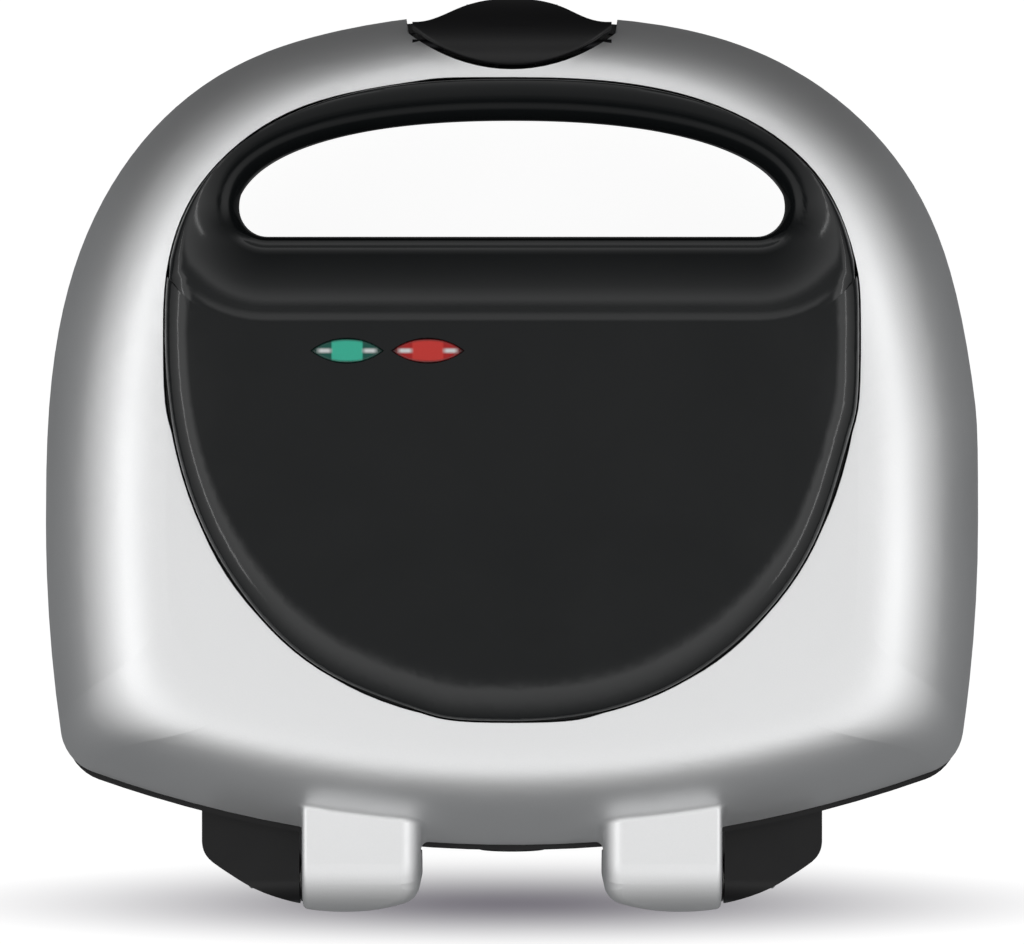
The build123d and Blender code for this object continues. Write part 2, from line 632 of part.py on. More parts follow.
def handle_panel():
    """Black panel let into the lid: a crowned field, a dip and a rolled grip."""
    skirt_z = LID_TOP_Z - PANEL_SKIRT
    grip_z = PANEL_TOP_Z - GRIP_SINK
    outer = panel_crown() + prism(panel_outline(0, 0, 0), skirt_z, PANEL_EDGE_Z)
    outer -= dish()
    hollow = panel_crown(WALL) + prism(panel_outline(WALL, WALL, WALL), skirt_z - 1, PANEL_EDGE_Z)
    hollow -= dish(WALL)
    hollow -= prism(hole_outline(WALL), skirt_z - 2, PANEL_TOP_Z)
    reach = [-amount for amount in FLANGE_REACH]
    flange_z = skirt_z + FLANGE_THICK
    flange = prism(panel_outline(*reach), skirt_z, flange_z) & lid_solid(WALL + FIT)
    flange -= prism(panel_outline(WALL, WALL, WALL), skirt_z - 1, flange_z + 1)
    panel = outer - hollow + flange
    panel += prism(hole_outline(WALL), LID_EDGE_Z, skirt_z + 1)
    grip = prism(hole_outline(GRIP_REACH), skirt_z, grip_z)
    grip = fillet(grip.edges().filter_by_position(Axis.Z, grip_z - 0.01, grip_z + 0.01), GRIP_ROUND)
    hole = prism(hole_outline(), LID_EDGE_Z - 1, PANEL_TOP_Z + 1)
    grip -= prism(hole_outline(), skirt_z - 1, grip_z + 1)
    grip = fillet(grip.edges().filter_by_position(Axis.Z, grip_z - 0.01, grip_z + 0.01), GRIP_ROUND)
    panel = panel - hole + grip
    for x in lens_places().values():
        window = prism(lens_face(LENS_PLAY), PANEL_TOP_Z - WALL - 1, PANEL_TOP_Z + 1)
        panel -= Pos(x, LENS_Y, 0) * window
    return panel


def lens(x):
    """Clear oval lens that clips in from below, with a lip under the panel."""
    lip_z = PANEL_TOP_Z - WALL - LENS_SEAT
    low_z = lip_z - LENS_LIP_THICK
    body = prism(lens_face(), low_z, PANEL_TOP_Z + LENS_PROUD)
    body = fillet(body.faces().sort_by(Axis.Z)[-1].edges(), LENS_ROUND)
    return Pos(x, LENS_Y, 0) * (body + prism(lens_face(LENS_LIP), low_z, lip_z))


def lamp_top_z():
    return PANEL_TOP_Z - WALL - LENS_SEAT - LENS_LIP_THICK - LAMP_GAP


def lamp(x):
    """Small neon lamp under a lens."""
    bulb = post(x, LENS_Y, lamp_top_z() - LAMP_LENGTH, lamp_top_z(), LAMP_RADIUS)
    return fillet(bulb.edges().sort_by(Axis.Z)[-1], LAMP_RADIUS * 0.8)


def lamp_holder():
    """Block under the panel that both lamps stand in."""
    reach_x, reach_y = HOLDER_MARGIN
    top_z = lamp_top_z() - HOLDER_DROP
    span = (POWER_LENS_X - reach_x, READY_LENS_X + reach_x)
    holder = block(span, (LENS_Y - reach_y, LENS_Y + reach_y), (top_z - HOLDER_HEIGHT, top_z))
    holder = fillet(holder.edges().filter_by(Axis.Z), HOLDER_ROUND)
    for x in lens_places().values():
        holder -= post(x, LENS_Y, lamp_top_z() - LAMP_LENGTH, top_z + 1, LAMP_RADIUS + LENS_SEAT)
    return holder


def lid_liner():
    """Black frame that closes the lid around its cooking plate."""
    inset = WALL + 2 * FIT
    low_z = LINER_LOW_Z
    ring_z = low_z + RING_DEPTH
    frame = prism(outline(inset + 2 * RIM_SLACK, inset, inset + 6 * RIM_SLACK), low_z, low_z + DECK_THICK)
    frame += prism(plate_outline(PLATE_SETBACK + RING_WALL), low_z, ring_z)
    frame -= prism(plate_outline(PLATE_SETBACK), low_z - 1, ring_z + 1)
    frame -= prism(hole_outline(WALL + FIT), low_z - 1, ring_z + 1)
    frame -= prism(latch_notch(LATCH_GAP + NOTCH_WALL + 2 * FIT), low_z - 1, ring_z + 1)
    return frame - lid_screws(0.1)


def keeper_half():
    """Half the width of the slot in the base that the latch's tongue drops into."""
    return TONGUE_HALF_WIDTH + TONGUE_PLAY


def base_shell():
    """Black tub with the lower half of the handle, the lugs and the keeper."""
    cheek = keeper_half()
    front_y = FRONT_Y - WALL
    back_y = LIP_FRONT_Y + LIP_DEPTH
    wall = cheek + KEEPER_WALL
    inside = [post(x, y, 0, PLATE_BACK_Z, PILLAR_RADIUS) for x, y in plate_screw_places()]
    inside += [post(x, y, 0, top_z, POST_RADIUS + 1) for x, y, top_z in HOUSING_SCREWS]
    inside.append(prism(hole_outline(WALL, BASE_HOLE_FRONT_Y), 0, BASE_EDGE_Z + 1))
    inside.append(block((-wall, wall), (front_y, back_y + KEEPER_WALL), (KEEPER_FLOOR_Z, BASE_EDGE_Z + 1)))
    shell = base_solid() + both_sides(hinge_lug())
    shell -= base_solid(WALL) - both_sides(joined(inside))
    pillar_low_z = PLATE_BACK_Z - PLATE_SCREW_LENGTH
    holes = [post(x, y, pillar_low_z, PLATE_BACK_Z + 1, SCREW_RADIUS) for x, y in plate_screw_places()]
    for x, y, top_z in HOUSING_SCREWS:
        holes.append(post(x, y, 0, top_z + 1, SCREW_RADIUS + SCREW_PLAY))
        holes.append(post(x, y, 0, top_z - SCREW_SEAT, SCREW_HEAD_RADIUS + HEAD_PLAY))
    holes += [post(x, y, 0, FOOT_HEIGHT + WALL + 1, FOOT_PEG_RADIUS) for x, y in FOOT_PLACES]
    cuts = both_sides(joined(holes)) + prism(hole_outline(0, BASE_HOLE_FRONT_Y), 0, BASE_EDGE_Z + 1)
    cuts += block((-cheek, cheek), (front_y, LIP_FRONT_Y), (KEEPER_POCKET_Z, BASE_EDGE_Z + 1))
    cuts += block((-cheek, cheek), (front_y, back_y), (KEEPER_POCKET_Z, LIP_LOW_Z))
    cuts += rod_y(REAR_Y - GLAND_LENGTH - 1, REAR_Y + GLAND_REACH, 0, INLET_Z, GLAND_RADIUS)
    return shell - cuts


def hinge_lug():
    """Ear beside each lid arm that holds the hinge pin."""
    outer_x = LUG_INNER_X + LUG_WIDTH
    front_y = REAR_Y - LUG_ROOT_DEPTH
    start = (outer_x, LUG_CORNER_Y)
    end = (LUG_INNER_X, HINGE_Y + LUG_RADIUS)
    between = [(outer_x - back, LUG_CORNER_Y + along) for back, along in LUG_CORNER_POINTS]
    corner = Spline(start, *between, end, tangents=[(0, 1), (-1, 0.3)])
    edges = Polyline(end, (LUG_INNER_X, front_y), (outer_x, front_y), start)
    plan = make_face([corner, *edges.edges()])
    top_z = HINGE_Z + LUG_RADIUS
    root = (front_y, LUG_ROOT_Z)
    low_z = HINGE_Z - LUG_RADIUS
    side = make_face(Polyline(root, (front_y, top_z), (HINGE_Y, top_z), (HINGE_Y, low_z), root))
    side += Pos(HINGE_Y, HINGE_Z) * Circle(LUG_RADIUS)
    profile = extrude(Plane.YZ * side, outer_x + 1, dir=(1, 0, 0))
    lug = prism(plan, FOOT_HEIGHT, top_z + 1) & profile
    return lug - rod_x(LUG_INNER_X - 1, LUG_INNER_X + PIN_IN_LUG, HINGE_Y, HINGE_Z, PIN_RADIUS)


def base_deck():
    """Black frame that closes the base around its cooking plate."""
    inset = BASE_SETBACK + WALL + FIT
    rear = inset - BASE_SETBACK + RIM_SLACK - REAR_LIP
    ring_z = DECK_TOP_Z - RING_DEPTH
    deck = prism(outline(inset + RIM_SLACK, inset, rear), DECK_TOP_Z - DECK_THICK, DECK_TOP_Z)
    deck += prism(plate_outline(PLATE_SETBACK + RING_WALL), ring_z, DECK_TOP_Z)
    for x, y, top_z in HOUSING_SCREWS:
        deck += both_sides(post(x, y, top_z + FIT, DECK_TOP_Z - 1, POST_RADIUS))
    deck -= prism(plate_outline(PLATE_SETBACK), ring_z - 1, DECK_TOP_Z + 1)
    deck -= prism(hole_outline(WALL + FIT, BASE_HOLE_FRONT_Y), ring_z - 1, DECK_TOP_Z + 1)
    cheek = keeper_half() + KEEPER_WALL + FIT
    back_y = LIP_FRONT_Y + LIP_DEPTH + KEEPER_WALL + FIT
    deck -= block((-cheek, cheek), (FRONT_Y - WALL, back_y), (ring_z - 1, DECK_TOP_Z + 1))
    for x, y, top_z in HOUSING_SCREWS:
        deck -= both_sides(post(x, y, top_z, top_z + BASE_SCREW_LENGTH - SCREW_SEAT, SCREW_RADIUS))
    return deck


def latch_lever():
    """Black latch: a cap over the lid's edge, a tongue and a hooked tooth."""
    pin_y = LATCH_PIN_Y
    pin_z = LATCH_PIN_Z
    top_z = pin_z + LATCH_HUB_RADIUS
    front_y = LATCH_TIP_Y - 1
    skin_y = TONGUE_INNER_Y
    tooth_y = skin_y + TOOTH_REACH
    crest_points = [(pin_y - ahead, pin_z + up) for ahead, up in LATCH_CREST]
    crest = Spline(*crest_points, (front_y, LATCH_TIP_Z))
    back_y, back_z = crest_points[0]
    corners = [(front_y, LATCH_TIP_Z), (front_y, LATCH_LOW_Z), (skin_y, LATCH_LOW_Z + TONGUE_CHAMFER)]
    corners += [(skin_y, TOOTH_LOW_Z - 1), (tooth_y, TOOTH_LOW_Z + TONGUE_CHAMFER)]
    corners += [(tooth_y, TOOTH_TOP_Z), (skin_y, TOOTH_TOP_Z), (skin_y, pin_z - TONGUE_DROP)]
    corners += [(pin_y, pin_z - LATCH_HUB_RADIUS), (back_y, pin_z), (back_y, back_z)]
    side = make_face([crest, *Polyline(*corners).edges()])
    bar = extrude(Plane.YZ * side, LATCH_HALF_WIDTH + 1, both=True)
    cap = bar & prism(latch_outline(), LATCH_CAP_Z, top_z + 1)
    rim = [edge for edge in cap.edges().filter_by(GeomType.BSPLINE)
           if edge.center().Z > LATCH_TIP_Z and edge.length > LATCH_ROUNDED_LENGTH]
    cap = fillet(rim, LATCH_EDGE_ROUND)
    wide = (-TONGUE_HALF_WIDTH, TONGUE_HALF_WIDTH)
    tongue = bar & block(wide, (skin_y - TONGUE_THICK, pin_y), (LATCH_LOW_Z, pin_z - TONGUE_DROP))
    slot_x = (-SPRING_SLOT_HALF, SPRING_SLOT_HALF)
    slot_y = [pin_y + reach for reach in SPRING_SLOT_YS]
    slot_z = [pin_z + reach for reach in SPRING_SLOT_ZS]
    lever = cap + tongue - block(slot_x, slot_y, slot_z)
    bore = LATCH_PIN_RADIUS + PIN_RUNNING
    return lever - rod_x(-LATCH_PIN_HALF - 1, LATCH_PIN_HALF + 1, pin_y, pin_z, bore)


def latch_spring():
    """Torsion spring round the latch pin, with one leg on the lid and one on the lever."""
    radius = LATCH_PIN_RADIUS + SPRING_PLAY + SPRING_WIRE / 2
    width = SPRING_PITCH * SPRING_TURNS
    coil = Helix(SPRING_PITCH, width, radius)
    first, last = coil @ 0, coil @ 1
    lever_leg = Line(first, first - (coil % 0) * LEVER_LEG)
    lid_leg = Line(last, last + (coil % 1) * LID_LEG)
    path = Wire([lever_leg, coil, lid_leg])
    start = Plane(path @ 0, z_dir=path % 0)
    wire = sweep(start * Circle(SPRING_WIRE / 2), path=path, is_frenet=True)
    return Pos(-width / 2, LATCH_PIN_Y, LATCH_PIN_Z) * Rot(0, 90, 0) * wire


def rubber_foot(x, y):
    foot = post(x, y, 0, FOOT_HEIGHT, FOOT_RADIUS)
    foot = fillet(foot.edges().sort_by(Axis.Z)[0], 1.5)
    return foot + post(x, y, FOOT_HEIGHT - 1, FOOT_HEIGHT + WALL, FOOT_PEG_RADIUS)


def hinge_pin():
    low_x = LUG_INNER_X + PIN_IN_LUG - PIN_LENGTH
    pin = rod_x(low_x, LUG_INNER_X + PIN_IN_LUG, HINGE_Y, HINGE_Z, PIN_RADIUS)
    return chamfer(pin.edges().filter_by(GeomType.CIRCLE), 0.6)


def hinge_bush():
    low_x = ARM_INNER_X + 4
    bush = rod_x(low_x, ARM_OUTER_X, HINGE_Y, HINGE_Z, BUSH_RADIUS)
    bush += rod_x(ARM_OUTER_X, LUG_INNER_X - FIT, HINGE_Y, HINGE_Z, BUSH_FLANGE_RADIUS)
    return bush - rod_x(low_x - 1, LUG_INNER_X, HINGE_Y, HINGE_Z, PIN_RADIUS + PIN_RUNNING)


def cord_gland():
    """Bush in the rear wall that the mains lead comes out of."""
    gland = rod_y(REAR_Y - GLAND_LENGTH, REAR_Y + 1, 0, INLET_Z, GLAND_RADIUS)
    gland += rod_y(REAR_Y + REAR_LIP - 1, REAR_Y + GLAND_REACH, 0, INLET_Z, GLAND_RADIUS + GLAND_COLLAR)
    return gland - rod_y(REAR_Y - GLAND_LENGTH - 1, REAR_Y + GLAND_REACH + 1, 0, INLET_Z, CORD_RADIUS)


def terminal_block():
    """Three-way screw terminal on the floor of the base."""
    low_z = FOOT_HEIGHT + WALL
    width, depth, height = TERMINAL_SIZE
    body = Pos(0, TERMINAL_Y, low_z + height / 2) * Box(width, depth, height)
    body = fillet(body.edges().filter_by(Axis.Z), SCREW_RADIUS)
    bore_z = low_z + height / 2
    for x in (-TERMINAL_PITCH, 0.0, TERMINAL_PITCH):
        body -= rod_y(TERMINAL_Y - depth, TERMINAL_Y + depth, x, bore_z, TERMINAL_BORE)
        body -= post(x, TERMINAL_Y, bore_z, low_z + height + 1, TERMINAL_SCREW_RADIUS)
    return body


def thermostat():
    """Disc thermostat clamped to the pad of the upper plate."""
    low_z = over_z(PLATE_PAD_Z)
    rim_radius, can_radius = THERMOSTAT_RADII
    rim_height, can_height = THERMOSTAT_HEIGHTS
    can = post(0, PAD_Y, low_z, low_z + rim_height, rim_radius)
    return can + post(0, PAD_Y, low_z + rim_height - 1, low_z + can_height, can_radius)


def plate_screws():
    head_z = PLATE_FACE_Z - RIDGE_HEIGHT
    return joined([both_sides(plate_screw(x, y, head_z)) for x, y in plate_screw_places()])


def tray_screws():
    """The two screws that hold a reflector to its plate."""
    return joined([screw(0, y, TRAY_TOP_Z - TRAY_THICK, 8) for y in PILLAR_YS])


def base_screws():
    """The screws that hold the base shell to its deck."""
    places = [(x, y, top_z - SCREW_SEAT) for x, y, top_z in HOUSING_SCREWS]
    return joined([both_sides(screw(x, y, seat_z, BASE_SCREW_LENGTH)) for x, y, seat_z in places])


def lid_screws(grow=0.0):
    """The countersunk screws that hold the liner to the lid cover."""
    head_z = over_z(LINER_LOW_Z)
    return over(joined([both_sides(plate_screw(x, y, head_z, grow)) for x, y, _ in HOUSING_SCREWS]))


def write_all():
    save(plate_screws(), "lower_plate_screws")
    save(over(plate_screws()), "upper_plate_screws")
    save(tray_screws(), "lower_reflector_screws")
    save(over(tray_screws()), "upper_reflector_screws")
    save(base_screws(), "base_screws")
    save(lid_screws(), "lid_screws")
    save(lid_cover(), "lid_cover")
    save(handle_panel(), "handle_panel")
    save(lid_liner(), "lid_liner")
    save(base_shell(), "base_shell")
    save(base_deck(), "base_deck")
    lower = cooking_plate()
    save(lower, "lower_plate")
    save(over(lower), "upper_plate")
    save(heater(), "lower_heater")
    save(over(heater()), "upper_heater")
    save(reflector(), "lower_reflector")
    save(over(reflector()), "upper_reflector")
    save(latch_lever(), "latch_lever")
    save(Compound(latch_spring()), "latch_spring")
    save(rod_x(-LATCH_PIN_HALF, LATCH_PIN_HALF, LATCH_PIN_Y, LATCH_PIN_Z, LATCH_PIN_RADIUS), "latch_pin")
    save(both_sides(hinge_pin()), "hinge_pins")
    save(both_sides(hinge_bush()), "hinge_bushes")
    save(cord_gland(), "cord_gland")
    save(terminal_block(), "terminal_block")
    save(thermostat(), "thermostat")
    save(lamp_holder(), "lamp_holder")
    for name, x in lens_places().items():
        save(lens(x), name + "_lens")
        save(lamp(x), name + "_lamp")
    feet = [rubber_foot(side * x, y) for x, y in FOOT_PLACES for side in (1, -1)]
    save(Compound(feet), "rubber_feet")


if __name__ == "__main__":
    os.makedirs("parts", exist_ok=True)
    write_all()
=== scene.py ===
from math import cos, pi, radians, sin, sqrt
import bpy
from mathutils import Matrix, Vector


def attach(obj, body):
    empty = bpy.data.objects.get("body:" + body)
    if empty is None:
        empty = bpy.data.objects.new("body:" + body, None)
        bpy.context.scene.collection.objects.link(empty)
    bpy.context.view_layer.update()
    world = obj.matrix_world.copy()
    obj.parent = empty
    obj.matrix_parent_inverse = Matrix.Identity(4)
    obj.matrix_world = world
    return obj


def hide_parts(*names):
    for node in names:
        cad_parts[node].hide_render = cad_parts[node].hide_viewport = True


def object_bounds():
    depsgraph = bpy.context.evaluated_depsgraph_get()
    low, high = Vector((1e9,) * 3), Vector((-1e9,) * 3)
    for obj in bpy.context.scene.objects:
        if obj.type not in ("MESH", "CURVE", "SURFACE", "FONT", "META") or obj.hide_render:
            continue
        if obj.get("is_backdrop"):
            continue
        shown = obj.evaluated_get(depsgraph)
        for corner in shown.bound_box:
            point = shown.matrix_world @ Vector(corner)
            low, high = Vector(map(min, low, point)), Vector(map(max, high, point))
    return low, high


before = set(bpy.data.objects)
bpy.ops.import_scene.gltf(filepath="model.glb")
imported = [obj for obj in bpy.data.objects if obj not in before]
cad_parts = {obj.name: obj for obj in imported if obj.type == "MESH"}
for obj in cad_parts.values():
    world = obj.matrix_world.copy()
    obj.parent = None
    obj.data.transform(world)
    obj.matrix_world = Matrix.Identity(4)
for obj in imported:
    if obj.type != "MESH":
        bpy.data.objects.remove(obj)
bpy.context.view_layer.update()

# ---- Camera
# It looks straight down on the closed sandwich maker, with the carrying handle at the head of
# the view and the hinge at its foot.
CAMERA_PLACE = (0, 0.00402, 1.2965)
CAMERA_LENS = 163.8
STUDIO_SIZE = 30.0
camera_data = bpy.data.cameras.new("camera")
camera_data.lens = CAMERA_LENS
camera_data.clip_end = STUDIO_SIZE
camera = bpy.data.objects.new("camera", camera_data)
camera.location = CAMERA_PLACE
camera.rotation_euler = (0, 0, pi)
bpy.context.collection.objects.link(camera)
bpy.context.scene.camera = camera
bpy.context.scene.view_settings.view_transform = "Standard"

# ---- Table top
# A matt white table that runs out of sight all round. Seen straight on it is white paper, with
# one soft painted shadow at the hinge end. Mirrored in the sandwich maker it is the dim grey of
# a dark studio, painted darker still in front of the latch to darken the reflections there.
WHITE_GLOSS_SHARE = 0.05
# the table as reflections and bounced light see it, painted darker in front of the latch
TABLE_DIM = (0.10, 0.105, 0.11, 1)
TABLE_DARK = (0.012, 0.012, 0.013, 1)
DARK_FROM_Y = -0.085
DARK_TO_Y = -0.15
TABLE_PAPER = (0.20, 0.20, 0.20, 1)
TABLE_GLOW = (0.93, 0.93, 0.93, 1)
NO_GLOW = (0, 0, 0, 1)
# the painted shadow at the hinge end: its tone, glow, place and reach
PAINTED_SHADOW_PAPER = (0.315, 0.30, 0.335, 1)
PAINTED_SHADOW_GLOW = (0.02, 0.018, 0.023, 1)
PAINTED_SHADOW_PLACE = (0, 0.1242)
PAINTED_SHADOW_REACH = (0.200, 0.0147)


def feed(node, values):
    """Sets each of these inputs to a plain value, or links it to the output that is given."""
    for label, value in values.items():
        if isinstance(value, bpy.types.NodeSocket):
            node.id_data.links.new(value, node.inputs[label])
        else:
            node.inputs[label].default_value = value


def add_node(tree, kind, values, **settings):
    """A new shader node with these settings and inputs."""
    node = tree.nodes.new("ShaderNode" + kind)
    for setting, value in settings.items():
        setattr(node, setting, value)
    feed(node, values)
    return node


def object_place(tree):
    """Where on the piece a point lies, in metres."""
    return add_node(tree, "TexCoord", {}).outputs["Object"]


def calculate(tree, operation, *values):
    """A number worked out from outputs and plain numbers."""
    return add_node(tree, "Math", dict(enumerate(values)), operation=operation).outputs[0]


def share_between(tree, value, start, end, curve="LINEAR"):
    """Nothing at the start, all at the end, and a growing share between them."""
    span = {"Value": value, "From Min": start, "From Max": end}
    return add_node(tree, "MapRange", span, interpolation_type=curve).outputs["Result"]


def blend_colour(tree, share, low, high, way="MIX"):
    """A colour that turns from one to the other with a share; either may be an output."""
    # a mix node keeps its two colours in inputs 6 and 7 and the result in output 2
    values = {"Factor": share, 6: low, 7: high}
    return add_node(tree, "Mix", values, data_type="RGBA", blend_type=way).outputs[2]


def white_share(tree, mirrored):
    """How much of the white studio a ray sees: all by eye or through glass, a share in gloss."""
    ray = add_node(tree, "LightPath", {}).outputs
    seen = calculate(tree, "MULTIPLY_ADD", ray["Is Glossy Ray"], mirrored, ray["Is Camera Ray"])
    share = calculate(tree, "ADD", seen, ray["Is Transmission Ray"])
    share.node.use_clamp = True
    return share


bpy.ops.mesh.primitive_plane_add(size=STUDIO_SIZE, location=(0, 0, 0))
table = bpy.context.object
table.name = "table_top"
table_paint = bpy.data.materials.new("table_paint")
table_paint.use_nodes = True
tree = table_paint.node_tree
place = object_place(tree)
# painted shadow: the table's tone and glow turn grey in a soft oval at the hinge end
pool = add_node(tree, "Mapping", {
    "Vector": place,
    "Location": (*PAINTED_SHADOW_PLACE, 0),
    "Scale": (*PAINTED_SHADOW_REACH, 1),
}, vector_type="TEXTURE")
away = add_node(tree, "VectorMath", {0: pool.outputs["Vector"]}, operation="LENGTH")
painted_shadow = share_between(tree, away.outputs["Value"], 1.0, 0.0, "SMOOTHSTEP")
sheet = blend_colour(tree, painted_shadow, TABLE_PAPER, PAINTED_SHADOW_PAPER)
glow = blend_colour(tree, painted_shadow, TABLE_GLOW, PAINTED_SHADOW_GLOW)
# painted dark reflection: the table darkens in front of the latch, which only reflections and
# bounced light see
along = add_node(tree, "SeparateXYZ", {0: place}).outputs["Y"]
reflection_dark_share = share_between(tree, along, DARK_FROM_Y, DARK_TO_Y)
mirrored_tone = blend_colour(tree, reflection_dark_share, TABLE_DIM, TABLE_DARK)
share = white_share(tree, WHITE_GLOSS_SHARE)
feed(tree.nodes["Principled BSDF"], {
    "Base Color": blend_colour(tree, share, mirrored_tone, sheet),
    "Roughness": 0.9,
    "Specular IOR Level": 0.0,
    "Emission Color": blend_colour(tree, share, NO_GLOW, glow),
    "Emission Strength": 1.0,
})
table.data.materials.append(table_paint)
table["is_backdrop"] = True

# ---- Studio light
# A tent of white cloth, lit from outside: brightest high up all round, dimmer at the table,
# with a dark opening overhead. Bright strips at the sides and in front draw the edges of gloss
# black.
TENT_TONES = ((0.0, 0.42), (0.35, 0.72), (0.62, 0.98), (0.88, 1.42), (0.955, 1.5), (0.985, 0.31))
TENT_ENDS = ((0.0, 0.05), (0.2, 0.33), (0.5, 1.0), (0.75, 0.72), (1.0, 0.33))
TENT_WHITE = (0.96, 0.96, 0.96, 1)
STRIP_DISTANCE = 1.3
SIDE_ANGLE = radians(36)
SIDE_STRIP = (0.05, 1.1)
SIDE_RADIANCE = 4.6
FRONT_ANGLE = radians(48)
FRONT_STRIP = (1.2, 0.045)
FRONT_RADIANCE = 9.0


def tone_ramp(tree, value, stops):
    """A grey that follows a value through these stops."""
    tones = add_node(tree, "ValToRGB", {"Fac": value})
    ramp = tones.color_ramp
    for number, (height, tone) in enumerate(stops):
        stop = ramp.elements[number] if number < 2 else ramp.elements.new(height)
        stop.position = height
        stop.color = (tone, tone, tone, 1)
    return tones.outputs["Color"]


def soft_box(name, place, turn, size, radiance):
    """A rectangular lamp of this radiance."""
    width, height = size
    lamp = bpy.data.lights.new(name, "AREA")
    lamp.shape = "RECTANGLE"
    lamp.size = width
    lamp.size_y = height
    lamp.energy = radiance * pi * width * height
    box = bpy.data.objects.new(name, lamp)
    box.location = place
    box.rotation_euler = turn
    bpy.context.collection.objects.link(box)


room = bpy.data.worlds.new("room")
bpy.context.scene.world = room
room.use_nodes = True
tree = room.node_tree
direction = add_node(tree, "TexCoord", {}).outputs["Generated"]
spread = add_node(tree, "SeparateXYZ", {0: direction}).outputs
# from 0 beyond the latch to 1 beyond the hinge
lengthways = calculate(tree, "MULTIPLY_ADD", spread["Y"], 0.5, 0.5)
by_height = tone_ramp(tree, spread["Z"], TENT_TONES)
by_end = tone_ramp(tree, lengthways, TENT_ENDS)
tent = blend_colour(tree, 1.0, by_height, by_end, "MULTIPLY")
share = white_share(tree, WHITE_GLOSS_SHARE)
feed(tree.nodes["Background"], {"Color": blend_colour(tree, share, tent, TENT_WHITE)})

for side, name in ((1, "right"), (-1, "left")):
    place = (side * STRIP_DISTANCE * sin(SIDE_ANGLE), 0, STRIP_DISTANCE * cos(SIDE_ANGLE))
    soft_box("strip_" + name, place, (0, side * SIDE_ANGLE, 0), SIDE_STRIP, SIDE_RADIANCE)
place = (0, -STRIP_DISTANCE * sin(FRONT_ANGLE), STRIP_DISTANCE * cos(FRONT_ANGLE))
soft_box("strip_front", place, (-FRONT_ANGLE, 0, 0), FRONT_STRIP, FRONT_RADIANCE)

# ---- Painted lid
# One deep moulding in ABS with both hinge arms on it, sprayed in a fine silver metallic paint.
# The flakes in the paint make it a little uneven from close by.
PAINT_TONES = ((0.845, 0.85, 0.855, 1), (0.88, 0.885, 0.89, 1))
PATCH_EDGE = (0.35, 0.65)


def effect_group(name, numbers, results):
    """A group of shader nodes that takes these numbers and puts out these results."""
    group = bpy.data.node_groups.new(name, "ShaderNodeTree")
    for label, value in numbers.items():
        number = group.interface.new_socket(label, in_out="INPUT", socket_type="NodeSocketFloat")
        number.default_value = value
    for label, kind in results.items():
        group.interface.new_socket(label, in_out="OUTPUT", socket_type="NodeSocket" + kind)
    return group, group.nodes.new("NodeGroupInput").outputs, group.nodes.new("NodeGroupOutput")


def new_material(name):
    """A material and its Principled shader."""
    material = bpy.data.materials.new(name)
    material.use_nodes = True
    return material, material.node_tree.nodes["Principled BSDF"]


def use_effect(shader, group, **numbers):
    """The outputs of a shared effect that is placed beside this shader, with its numbers."""
    return add_node(shader.id_data, "Group", numbers, node_tree=group).outputs


def two_tone(shader, share, tones):
    """A base colour that turns from the first tone to the second."""
    feed(shader, {"Base Color": blend_colour(shader.id_data, share, *tones)})


def finish_node(node, material):
    """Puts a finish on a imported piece."""
    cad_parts[node].data.materials.clear()
    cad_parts[node].data.materials.append(material)


# the fine grain of a moulded or sprayed surface
surface_grain, given, result = effect_group(
    "surface_grain",
    {"Scale": 900.0, "Strength": 0.1, "Distance": 0.0002},
    {"Grain": "Float", "Normal": "Vector"},
)
grain = add_node(surface_grain, "TexNoise", {
    "Vector": object_place(surface_grain),
    "Scale": given["Scale"],
    "Detail": 3.0,
}).outputs["Fac"]
bump = add_node(surface_grain, "Bump", {
    "Strength": given["Strength"],
    "Distance": given["Distance"],
    "Height": grain,
})
feed(result, {"Grain": grain, "Normal": bump.outputs["Normal"]})

# the soft patches that hands, spray or heat leave
handled, given, result = effect_group(
    "handled",
    {"Scale": 30.0, "Low": 0.0, "High": 1.0},
    {"Value": "Float", "Mask": "Float"},
)
patches = add_node(handled, "TexNoise", {
    "Vector": object_place(handled),
    "Scale": given["Scale"],
    "Detail": 4.0,
    "Roughness": 0.6,
    "Distortion": 0.4,
})
mask = share_between(handled, patches.outputs["Fac"], *PATCH_EDGE)
levels = add_node(handled, "MapRange", {
    "Value": mask,
    "To Min": given["Low"],
    "To Max": given["High"],
})
feed(result, {"Value": levels.outputs["Result"], "Mask": mask})

silver_paint, shader = new_material("silver_paint")
mist = use_effect(shader, handled, Scale=14.0, Low=0.44, High=0.48)
flakes = use_effect(shader, surface_grain, Scale=2600.0, Strength=0.12, Distance=0.0002)
two_tone(shader, flakes["Grain"], PAINT_TONES)
feed(shader, {"Metallic": 0.9, "Roughness": mist["Value"], "Normal": flakes["Normal"]})
finish_node("lid_cover", silver_paint)

# ---- Handle panel
# A crowned black panel in polished ABS, clipped into the lid. Round the finger hole its front
# and ends roll over in one broad round, the grip of the carrying handle; behind the hole a thin
# lip stands before a dip that rises to the panel's field.
GLOSS_TONES = ((0.0055, 0.0065, 0.007, 1), (0.007, 0.008, 0.0085, 1))
# heights over the table
FIELD_Z = 0.090
EDGE_Z = 0.085
SKIRT_Z = 0.078
LIP_Z = 0.075
TOP_FACE_OVER_Z = 0.08
OVERHEAD_Z = 0.12
# the panel's outline: half its width, where it is widest, and its reach and power either way
PANEL_HALF = 0.0903
PANEL_WIDEST = -0.0328
PANEL_ENDS = ((-0.0654, 2.55), (0.1016, 2.18))
OUTLINE_SOUGHT = 0.2
OUTLINE_HALVINGS = 40
PAST_OUTLINE = 0.003
# the finger hole's lip: a flattened oval in front and a straight back with rounded corners
GRIP_HALF = 0.0715
GRIP_WIDEST = -0.0652
GRIP_FRONT = 0.0228
GRIP_POWER = 2.2
GRIP_CORNER = 0.0076
FRONT_STEPS = 120
CORNER_STEPS = 12
BACK_STEPS = 40
